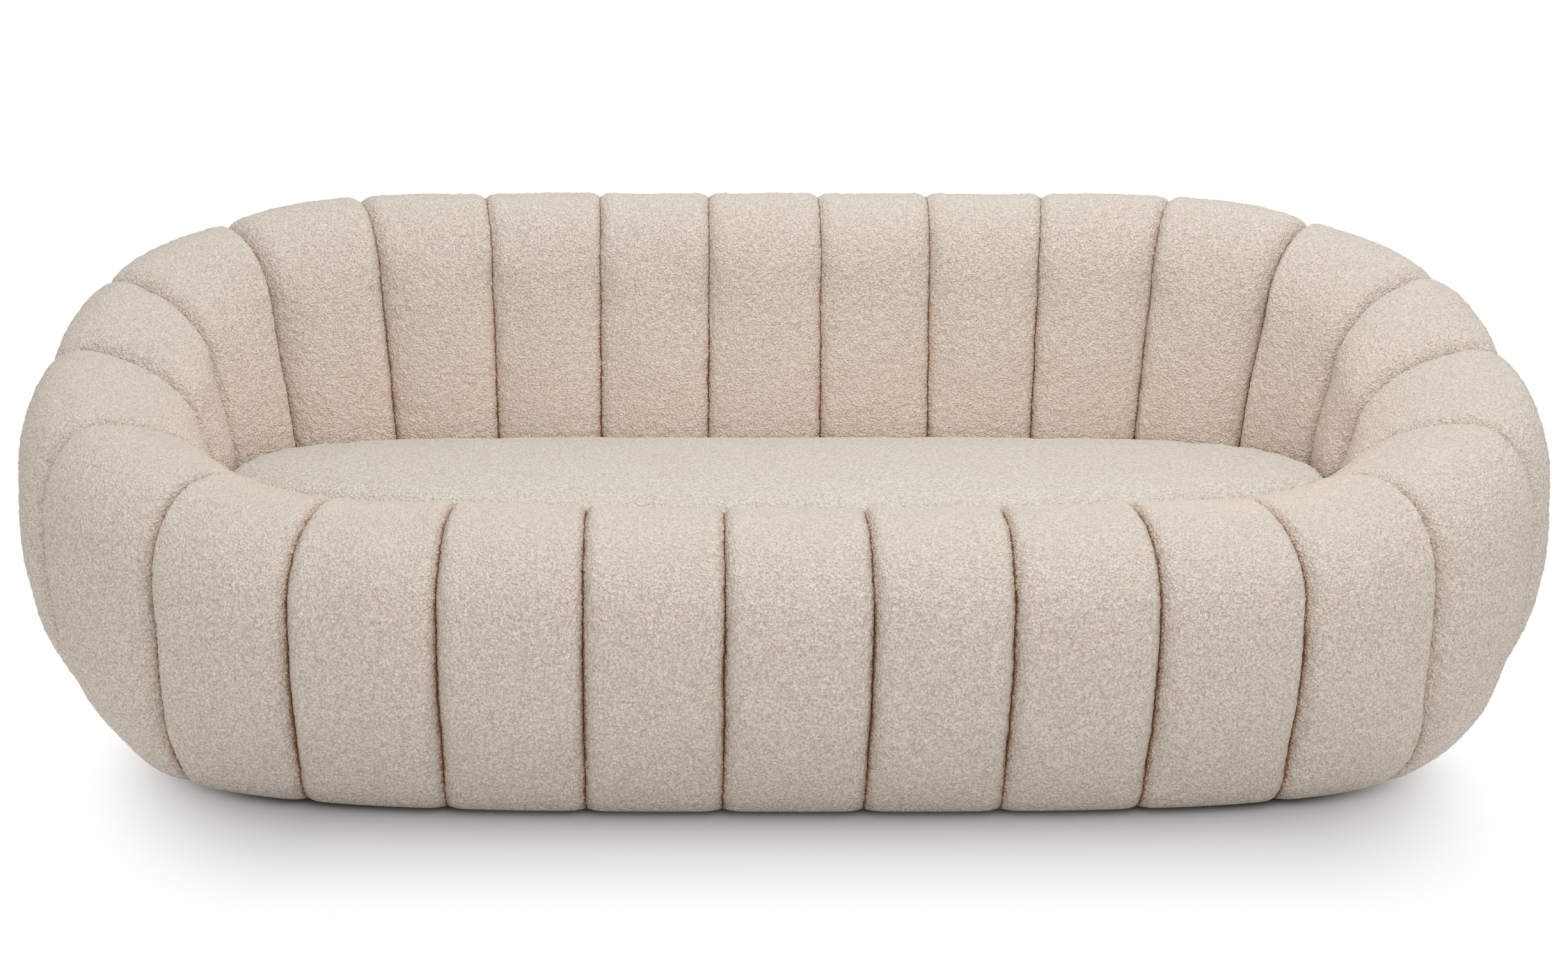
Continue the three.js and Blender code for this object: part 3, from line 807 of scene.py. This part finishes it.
class RingNet:
    """Reads the rings of corners that a channel's CAD solid is lofted through."""

    def __init__(self, node: str) -> None:
        """Copies the node's mesh and sorts its corners.

        Args:
            node: The CAD node.
        """
        self.mesh = bmesh.new()
        self.mesh.from_mesh(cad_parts[node].data)
        bmesh.ops.remove_doubles(self.mesh, verts=self.mesh.verts, dist=MERGE_DISTANCE)
        first, last = self.ends()
        rings = [self.around(first)]
        seen = set(rings[0])
        while len(seen) < len(self.mesh.verts):
            near = {edge.other_vert(v) for v in rings[-1] for edge in v.link_edges} - seen
            loop = self.around(last) if near == self.corners(last) else self.walk(near)
            rings.append(self.aligned(rings[-1], loop))
            seen |= near
        net = np.array([[tuple(v.co) for v in ring] for ring in rings])
        self.mesh.free()
        self.net = self.started(net)

    @staticmethod
    def corners(faces: Iterable[bmesh.types.BMFace]) -> set[bmesh.types.BMVert]:
        """Gives all the corners of some faces."""
        return {v for face in faces for v in face.verts}

    def ends(self) -> list[list[bmesh.types.BMFace]]:
        """Finds the two flat ends, which alone have a whole ring of corners each."""
        groups: list[list[bmesh.types.BMFace]] = []
        for face in self.mesh.faces:
            flat = (faces for faces in groups if self.lie_flat(faces[0], face))
            group = next(flat, None)
            if group is None:
                groups.append([face])
            else:
                group.append(face)
        return [faces for faces in groups if len(self.corners(faces)) == RING_CORNERS]

    @staticmethod
    def lie_flat(first: bmesh.types.BMFace, second: bmesh.types.BMFace) -> bool:
        """Tells whether two faces lie in one plane and look the same way."""
        if first.normal.dot(second.normal) < ALIKE:
            return False
        start = first.verts[0].co
        return all(abs((v.co - start).dot(first.normal)) < FLATNESS for v in second.verts)

    def around(self, faces: list[bmesh.types.BMFace]) -> list[bmesh.types.BMVert]:
        """Walks round the edge of a flat end, along the sides that lead away from it."""
        corners = self.corners(faces)
        sides = {f for v in corners for f in v.link_faces if not corners.issuperset(f.verts)}
        rim = {e for f in sides for e in f.edges if corners.issuperset(e.verts)}
        return self.walk_edges(rim)

    def walk(self, corners: set[bmesh.types.BMVert]) -> list[bmesh.types.BMVert]:
        """Walks round a ring between the ends."""
        edges = {e for v in corners for e in v.link_edges if e.other_vert(v) in corners}
        return self.walk_edges(edges)

    @staticmethod
    def walk_edges(edges: Iterable[bmesh.types.BMEdge]) -> list[bmesh.types.BMVert]:
        """Puts the corners of a closed chain of edges in order."""
        beside = defaultdict(set)
        for edge in edges:
            a, b = edge.verts
            beside[a].add(b)
            beside[b].add(a)
        start = min(beside, key=lambda v: v.index)
        loop = [start]
        before, here = None, start
        while True:
            onward = min((v for v in beside[here] if v is not before), key=lambda v: v.index)
            before, here = here, onward
            if here is start:
                return loop
            loop.append(here)

    @staticmethod
    def aligned(
        ring: list[bmesh.types.BMVert], loop: list[bmesh.types.BMVert]
    ) -> list[bmesh.types.BMVert]:
        """Turns a loop until its corners face those of the ring before."""
        held = np.array([tuple(v.co) for v in ring])
        places = np.array([tuple(v.co) for v in loop])
        numbers = np.arange(len(loop))
        tries = []
        for way in (1, -1):
            for turn in range(len(loop)):
                order = (way * numbers + turn) % len(loop)
                tries.append((np.linalg.norm(places[order] - held, axis=1).sum(), tuple(order)))
        return [loop[i] for i in min(tries)[1]]

    @staticmethod
    def started(net: np.ndarray) -> np.ndarray:
        """Turns the rings so that the skin comes first, from its foot, and the cavity last."""
        ring = net[0]
        span = ring - ring.mean(axis=0)
        across = np.linalg.svd(span * (1, 1, 0))[2][0]
        flat = np.stack([span @ across, span[:, 2]], axis=1)
        before = flat - np.roll(flat, 1, axis=0)
        after = np.roll(flat, -1, axis=0) - flat
        cross = before[:, 0] * after[:, 1] - before[:, 1] * after[:, 0]
        lengths = np.linalg.norm(before, axis=1) * np.linalg.norm(after, axis=1)
        area = (flat[:, 0] * np.roll(flat[:, 1], -1) - np.roll(flat[:, 0], -1) * flat[:, 1]).sum()
        hollow = -np.sign(area) * cross / lengths
        inner = int(np.argmax(hollow + np.roll(hollow, -1)))
        net = np.roll(net, -(inner + 3), axis=1)
        skin = len(ring) - CAVITY_CORNERS
        if net[0, 0, 2] > net[0, skin - 1, 2]:
            net = np.concatenate([net[:, :skin][:, ::-1], net[:, skin:][:, ::-1]], axis=1)
        return net

    def skin(self) -> np.ndarray:
        """Gives the corners of the padded skin, from foot to deck, ring by ring."""
        return self.net[:, : RING_CORNERS - CAVITY_CORNERS]

    def cavity(self) -> np.ndarray:
        """Gives the corners of the cavity that the frame stands in, from the deck down."""
        return self.net[:, RING_CORNERS - CAVITY_CORNERS :]


# Padded pieces


@dataclass(frozen=True)
class Cover:
    """How the cloth of a cover and the air in it behave in the simulation."""

    mass: float = 0.35
    tension: float = 40
    compression: float = 12
    shear: float = 12
    bending: float = 4
    pressure: float = 4.0
    quality: int = 4
    frames: int = 20

    def swollen(self, piece: bpy.types.Object, pins: str) -> np.ndarray:
        """Lets air pressure fill a piece.

        Args:
            piece: The piece.
            pins: The vertex group that stays where it is.

        Returns:
            Where the piece's points come to rest.
        """
        modifier = piece.modifiers.new("cover", "CLOTH")
        settings = modifier.settings
        settings.quality = self.quality
        settings.mass = self.mass
        settings.tension_stiffness = self.tension
        settings.compression_stiffness = self.compression
        settings.shear_stiffness = self.shear
        settings.bending_stiffness = self.bending
        settings.use_pressure = True
        settings.uniform_pressure_force = self.pressure
        settings.vertex_group_mass = pins
        settings.effector_weights.gravity = 0
        modifier.collision_settings.use_collision = False
        modifier.point_cache.frame_start = 1
        modifier.point_cache.frame_end = self.frames
        for number in range(1, self.frames + 1):
            bpy.context.scene.frame_set(number)
        points = coordinates(piece.evaluated_get(bpy.context.evaluated_depsgraph_get()))
        piece.modifiers.remove(modifier)
        bpy.context.scene.frame_set(1)
        return points


@dataclass(frozen=True)
class Bulge:
    """A place where the stuffing is fuller than drawn, or slacker."""

    shift: Point
    height: float
    spread: float
    side: int = 1
    reach: Span = (-2.0, -1.5)
    foot_hold: float = 0.045

    def move(self, grid: np.ndarray) -> np.ndarray:
        """Says how far the stuffing moves the skin.

        Args:
            grid: The skin.

        Returns:
            The moves of its points.
        """
        share = np.sin(np.interp(grid[..., 0] * self.side, self.reach, (0, math.pi / 2))) ** 2
        share = share * np.exp(-(((grid[..., 2] - self.height) / self.spread) ** 2))
        from_foot = np.linalg.norm(grid - grid[:, :1], axis=2)
        share = share * np.minimum(1, from_foot / self.foot_hold)
        return share[..., None] * self.shift


BULGES = (
    Bulge((0, 0, 0.005), height=0.84, spread=0.13),
    Bulge((0.008, 0, 0.013), height=0.74, spread=0.11, side=1, reach=(0.62, 0.84)),
    Bulge((-0.004, 0, 0.007), height=0.74, spread=0.11, side=-1, reach=(0.62, 0.86)),
    Bulge((0.026, 0, 0), height=0.075, spread=0.075, side=1, reach=(0.66, 0.98)),
    Bulge((-0.010, 0, 0), height=0.09, spread=0.055, side=-1, reach=(0.66, 0.98)),
    Bulge((0.006, 0, 0), height=0.25, spread=0.07, side=-1, reach=(0.75, 1.05)),
)


@dataclass
class Pad:
    """A padded piece that stands for one CAD node."""

    cloth: bpy.types.Material
    node: str
    fill: float = 0.85
    cover: Cover = Cover()
    reach: float = 0.006
    nub: float = 0.0009
    nub_grain: float = 0.0085
    piece: bpy.types.Object = field(init=False)

    def add_piece(self, mesh: bpy.types.Mesh) -> None:
        """Adds the piece to the scene."""
        self.piece = bpy.data.objects.new(self.node + "_pad", mesh)
        bpy.context.scene.collection.objects.link(self.piece)

    def inflate(self, start: np.ndarray, fixed: np.ndarray) -> None:
        """Fills the cover with air, and keeps each point within reach of where it was.

        Args:
            start: Where the points are as the air comes in.
            fixed: Which of them stay.
        """
        piece = self.piece
        rest = coordinates(piece)
        set_coordinates(piece, start)
        pins = piece.vertex_groups.new(name="pins")
        pins.add(np.nonzero(fixed)[0].tolist(), 1.0, "REPLACE")
        move = self.cover.swollen(piece, "pins") - rest
        far = np.linalg.norm(move, axis=1, keepdims=True)
        move *= self.reach * np.tanh(far / self.reach) / np.maximum(far, TINY)
        most = np.linalg.norm(move, axis=1).max()
        log.info("%s swelled by up to %.1f mm", piece.name, 1000 * most)
        set_coordinates(piece, rest + move)

    def dress(self) -> None:
        """Gives the piece its cloth and says what it is."""
        piece = self.piece
        piece.data.materials.clear()
        piece.data.materials.append(self.cloth)
        piece.data.shade_smooth()
        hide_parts(self.node)
        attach(piece, BODY)
        log.info("%s made with %d faces", piece.name, len(piece.data.polygons))


@dataclass
class Channel(Pad):
    """One upright padded channel, swollen by a cloth simulation between its two seams."""

    mesh_step: float = 0.013
    seam_crowd: float = 0.55
    slack: float = 0.003
    pinned_edge: float = 0.02
    side_haste: float = 1.6
    end_haste: float = 6
    wander: float = 0.0016
    wander_grain: float = 0.07
    wander_seed: float = 3.7
    unevenness: float = 0.0028
    uneven_grain: float = 0.16
    uneven_seed: float = 11.3
    groove: float = 0.004
    groove_width: float = 0.011
    groove_fall: float = 1.5
    bridge: float = 0.016
    bridge_width: float = 0.02
    bridge_heights: tuple[float, ...] = (0.46, 0.6, 0.74, 0.81)
    bridge_shares: tuple[float, ...] = (1, 0, 0, 0.35)
    wobble: float = 0.0015
    wobble_grain: float = 0.008
    crest_ease: float = 0.0012
    smooth_levels: int = 2

    def build(self) -> None:
        """Makes the channel."""
        net = RingNet(self.node)
        grid = self.skin_grid(net.skin())
        self.close(grid, net.cavity())
        self.swell(grid)
        self.refine(grid)
        self.dress()

    def skin_grid(self, skin: np.ndarray) -> np.ndarray:
        """Turns the skin's corners into a fine even grid, a little uneven as stuffing is.

        Args:
            skin: The corners, ring by ring.

        Returns:
            The grid, across the channel and then along it.
        """
        knots, at = spaced(skin, self.mesh_step, self.seam_crowd)
        grid = through(skin, knots, at).swapaxes(0, 1)
        knots, at = spaced(grid, self.mesh_step)
        grid = through(grid, knots, at).swapaxes(0, 1)
        grid = self.grooved(grid)
        grid += sum(bulge.move(grid) for bulge in BULGES)
        middle = self.middleness(grid)
        normals = normals_of(grid)
        along = grid.shape[1]
        for i, j in np.ndindex(grid.shape[:2]):
            push = drift_of(grid[i, j], self.wander_grain, self.wander_seed) * self.wander
            uneven = drift_of(grid[i, j], self.uneven_grain, self.uneven_seed)[0] * self.unevenness
            edge = min(1, self.end_haste * min(j, along - 1 - j) / along)
            grid[i, j] += (push + normals[i, j] * uneven * middle[i, j]) * edge
        return grid

    def grooved(self, grid: np.ndarray) -> np.ndarray:
        """Pulls the cover in along its two seams, and fills them where it runs over the rim.

        Args:
            grid: The skin.

        Returns:
            The skin with its grooves.
        """
        away = seam_distance(grid)
        groove = self.groove * np.exp(-((away / self.groove_width) ** self.groove_fall))
        along = np.gradient(grid, axis=1)
        chord = grid[:, -1] - grid[:, 0]
        face = np.cross(chord, grid[:, grid.shape[1] // 2] - grid[:, 0])
        inward = np.cross(along, face[:, None, :])
        inward /= np.linalg.norm(inward, axis=2, keepdims=True)
        inward *= -np.sign((inward * normals_of(grid)).sum(axis=2).mean())
        tops = grid[..., 2].max(axis=1, keepdims=True)
        bridge = self.bridge * np.interp(tops, self.bridge_heights, self.bridge_shares)
        bridge = bridge * crest_of(grid) * np.exp(-((away / self.bridge_width) ** 2))
        return grid + inward * (groove - bridge)[..., None]

    def middleness(self, grid: np.ndarray) -> np.ndarray:
        """Says how far each point is from the edges, from 0 to 1."""
        across, along = grid.shape[:2]
        i, j = np.indices((across, along))
        side = np.minimum(i, across - 1 - i) / (across - 1) * 2
        end = np.minimum(j, along - 1 - j) / (along - 1) * 2
        side = np.sin(np.minimum(1, side * self.side_haste) * math.pi / 2)
        return side * np.minimum(1, end * self.end_haste)

    def close(self, grid: np.ndarray, cavity: np.ndarray) -> None:
        """Closes the skin with the cavity behind it and a flat face at each seam.

        Args:
            grid: The skin.
            cavity: The corners of the cavity, ring by ring.
        """
        across = len(grid)
        rows = np.linspace(0, len(cavity) - 1, across)
        walls = through(cavity, np.arange(len(cavity), dtype=float), rows)
        rings = np.concatenate([grid, walls], axis=1)
        numbers = np.arange(rings[..., 0].size).reshape(rings.shape[:2])
        onward = np.roll(numbers, -1, axis=1)
        quads = np.stack([numbers[:-1], onward[:-1], onward[1:], numbers[1:]], axis=2)
        faces = quads.reshape(-1, 4).tolist()
        faces.append(numbers[0, ::-1].tolist())
        faces.append(numbers[-1].tolist())
        mesh = bpy.data.meshes.new(self.node + "_pad")
        mesh.from_pydata(rings.reshape(-1, 3).tolist(), [], faces)
        self.add_piece(mesh)
        with edited(mesh) as shell:
            bmesh.ops.recalc_face_normals(shell, faces=shell.faces)
            if shell.calc_volume(signed=True) < 0:
                bmesh.ops.reverse_faces(shell, faces=shell.faces)

    def skin_numbers(self, grid: np.ndarray) -> np.ndarray:
        """Gives the vertex numbers of the skin's points."""
        across, along = grid.shape[:2]
        return np.arange(across)[:, None] * (along + CAVITY_CORNERS) + np.arange(along)[None, :]

    def swell(self, grid: np.ndarray) -> None:
        """Lets air pressure fill the cover between its fixed seams.

        Args:
            grid: The skin as it was drawn.
        """
        numbers = self.skin_numbers(grid)
        middle = self.middleness(grid)
        start = coordinates(self.piece)
        start[numbers] -= normals_of(grid) * (self.slack * middle)[..., None]
        fixed = np.ones(len(start), bool)
        fixed[numbers] = middle <= self.pinned_edge
        self.inflate(start, fixed)

    def refine(self, grid: np.ndarray) -> None:
        """Smooths the pad, keeps its seams crisp and raises the nubs of the pile.

        Args:
            grid: The skin as it was drawn.
        """
        piece = self.piece
        numbers = self.skin_numbers(grid)
        points = coordinates(piece)
        crest = np.zeros(len(points))
        crest[numbers] = crest_of(grid)
        seam = np.zeros(len(points))
        seam[numbers] = seam_distance(points[numbers])
        self.crease(numbers)
        # The seam distance grows on the crests, so the painted seam shade in the cloth thins there.
        mark(piece, "seam", seam + crest * self.crest_ease)
        mark(piece, "crest", crest)
        skin = piece.vertex_groups.new(name="skin")
        skin.add(numbers[:, 1:-1].ravel().tolist(), 1.0, "REPLACE")
        nubs = piece.vertex_groups.new(name="nubs")
        levels = np.round(self.middleness(grid), 1)
        for level in np.unique(levels):
            nubs.add(numbers[levels == level].tolist(), float(level), "REPLACE")
        smooth = {"levels": self.smooth_levels, "render_levels": self.smooth_levels}
        apply_modifier(piece, "SUBSURF", **smooth)
        wander = {"direction": "RGB_TO_XYZ", "vertex_group": "skin"}
        roughen(piece, self.wobble_grain, self.wobble, coloured=True, **wander)
        roughen(piece, self.nub_grain, self.nub, vertex_group="nubs")

    def crease(self, numbers: np.ndarray) -> None:
        """Keeps the edges of the flat seam faces and of the cavity sharp."""
        mesh = self.piece.data
        inner = set(numbers[1:-1].ravel().tolist())
        width = int(numbers[1, 0] - numbers[0, 0])
        count = len(mesh.vertices)
        rims = (set(range(width)), set(range(count - width, count)))
        crease = mesh.attributes.new("crease_edge", "FLOAT", "EDGE")
        for edge in mesh.edges:
            ends = set(edge.vertices)
            if any(ends <= rim for rim in rims) or not ends & inner:
                crease.data[edge.index].value = 1.0


@dataclass
class SeatCushion(Pad):
    """The fitted oval seat, crowned by the same kind of simulation."""

    node: str = "seat_cushion"
    fill: float = 0.8
    cover: Cover = Cover(shear=5)
    nub: float = 0.0005
    nub_grain: float = 0.008
    voxel: float = 0.01
    free_rim: float = 0.03

    def build(self) -> None:
        """Makes the cushion."""
        self.add_piece(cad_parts[self.node].data.copy())
        piece = self.piece
        with edited(piece.data) as shell:
            bmesh.ops.remove_doubles(shell, verts=shell.verts, dist=MERGE_DISTANCE)
        remesh = {"mode": "VOXEL", "voxel_size": self.voxel, "use_smooth_shade": True}
        apply_modifier(piece, "REMESH", **remesh)
        points = coordinates(piece)
        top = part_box(self.node)[1][2]
        self.inflate(points, points[:, 2] < top - self.free_rim)
        apply_modifier(piece, "SUBSURF", levels=1, render_levels=1)
        roughen(piece, self.nub_grain, self.nub)
        # A far seam distance keeps the painted seam shade off the seat, and a full crest softens its
        # relief and painted crevice shade.
        everywhere = np.ones(len(piece.data.vertices))
        mark(piece, "seam", everywhere)
        mark(piece, "crest", everywhere)
        self.dress()


# Carcass


@dataclass
class Carcass:
    """The hidden wood, straps, foam, dust cover and glides, which keep their CAD shapes."""

    plywood: bpy.types.Material
    webbing: bpy.types.Material
    sheets: Mapping[Sheet, bpy.types.Material]

    def finish_of(self, node: str) -> bpy.types.Material:
        """Chooses a node's material.

        Args:
            node: The CAD node.

        Returns:
            The material.
        """
        if "panel" in node:
            return self.sheets[Sheet.HARDBOARD]
        if "web" in node:
            return self.webbing
        if node == "dust_cover":
            return self.sheets[Sheet.LINER]
        if node == "seat_foam":
            return self.sheets[Sheet.FOAM]
        if node.startswith("glide"):
            return self.sheets[Sheet.GLIDE]
        return self.plywood

    def build(self) -> None:
        """Dresses every node that isn't padded."""
        for name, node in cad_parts.items():
            if name.startswith("channel") or name == "seat_cushion":
                continue
            node.data.materials.clear()
            node.data.materials.append(self.finish_of(name))
            log.info("%s dressed", name)


# Studio


@dataclass(frozen=True)
class Lamp:
    """A soft square lamp, with its power in watts and the length of its side."""

    name: str
    place: Point
    target: Point
    size: float
    power: float

    def hang(self) -> None:
        """Hangs the lamp so that it points at its target."""
        lamp = bpy.data.lights.new(self.name, "AREA")
        lamp.size = self.size
        lamp.energy = self.power
        shown = bpy.data.objects.new(self.name, lamp)
        shown.location = self.place
        towards = Vector(self.target) - Vector(self.place)
        shown.rotation_euler = towards.to_track_quat("-Z", "Y").to_euler()
        bpy.context.scene.collection.objects.link(shown)


@dataclass
class Studio:
    """Pale floor, soft lights and the camera."""

    floor: bpy.types.Material
    floor_reach: float = 6.0
    sky_rise: Span = (0.08, 0.4)
    sky_turn: Span = (-0.7, 0.1)
    front_loss: float = 0.6
    back_loss: float = 0.4
    top_lamp: Lamp = Lamp("top_softbox", (0.5, -0.8, 3.2), (0.1, 0.05, 0.2), 2.6, 55)
    front_lamp: Lamp = Lamp("front_softbox", (0.4, -3.3, 2.8), (0.0, 0.0, 0.4), 2.0, 20)
    camera_place: Point = (-0.1913, -2.8367, 0.9614)
    camera_pitch: float = math.radians(76.9)
    lens: float = 40.876
    sensor: float = 36.0
    shift: Span = (0.0802, 0.0350)

    def build(self) -> None:
        """Makes the floor, the lights and the camera."""
        self.add_floor()
        self.add_sky()
        self.top_lamp.hang()
        self.front_lamp.hang()
        self.add_camera()

    def add_floor(self) -> None:
        """Lays the floor."""
        bpy.ops.object.select_all(action="DESELECT")
        bpy.ops.mesh.primitive_circle_add(
            vertices=64, radius=self.floor_reach, fill_type="NGON"
        )
        floor = bpy.context.object
        floor.name = "studio_floor"
        floor.data.materials.append(self.floor)

    def add_sky(self) -> None:
        """Adds soft light from all round, white at the horizon and dimmer overhead, most in front."""
        world = bpy.data.worlds.new("studio")
        world.use_nodes = True
        graph = Graph(world.node_tree)
        axes = graph.axes(graph.add("ShaderNodeTexCoord", {}, {})["Generated"])
        turned = axes["Y"].ramp(*self.sky_turn) * (self.front_loss - self.back_loss)
        strength = 1 - axes["Z"].ramp(*self.sky_rise) * (self.front_loss - turned)
        white = {"Color": (1, 1, 1), "Strength": strength}
        light = graph.add("ShaderNodeBackground", {}, white)[0]
        graph.add("ShaderNodeOutputWorld", {}, {"Surface": light})
        bpy.context.scene.world = world

    def add_camera(self) -> None:
        """Places the camera where the photograph was taken from."""
        camera = bpy.data.cameras.new("camera")
        camera.lens = self.lens
        camera.sensor_width = self.sensor
        camera.shift_x, camera.shift_y = self.shift
        shown = bpy.data.objects.new("camera", camera)
        shown.location = self.camera_place
        shown.rotation_euler = (self.camera_pitch, 0, 0)
        bpy.context.scene.collection.objects.link(shown)
        bpy.context.scene.camera = shown


def main() -> None:
    """Builds everything in order."""
    logging.basicConfig(level=logging.INFO, format="%(message)s")
    noise.seed_set(STUFFING_SEED)
    bpy.context.scene.view_settings.view_transform = "Standard"
    Studio(Floor().build()).build()
    cloth = Boucle().build()
    for name in sorted(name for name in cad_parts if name.startswith("channel")):
        Channel(cloth, name).build()
    SeatCushion(SEAT_PILE.build()).build()
    sheets = {sheet: sheet.value.build() for sheet in Sheet}
    Carcass(Plywood().build(), Webbing().build(), sheets).build()


if __name__ == "__main__":
    main()
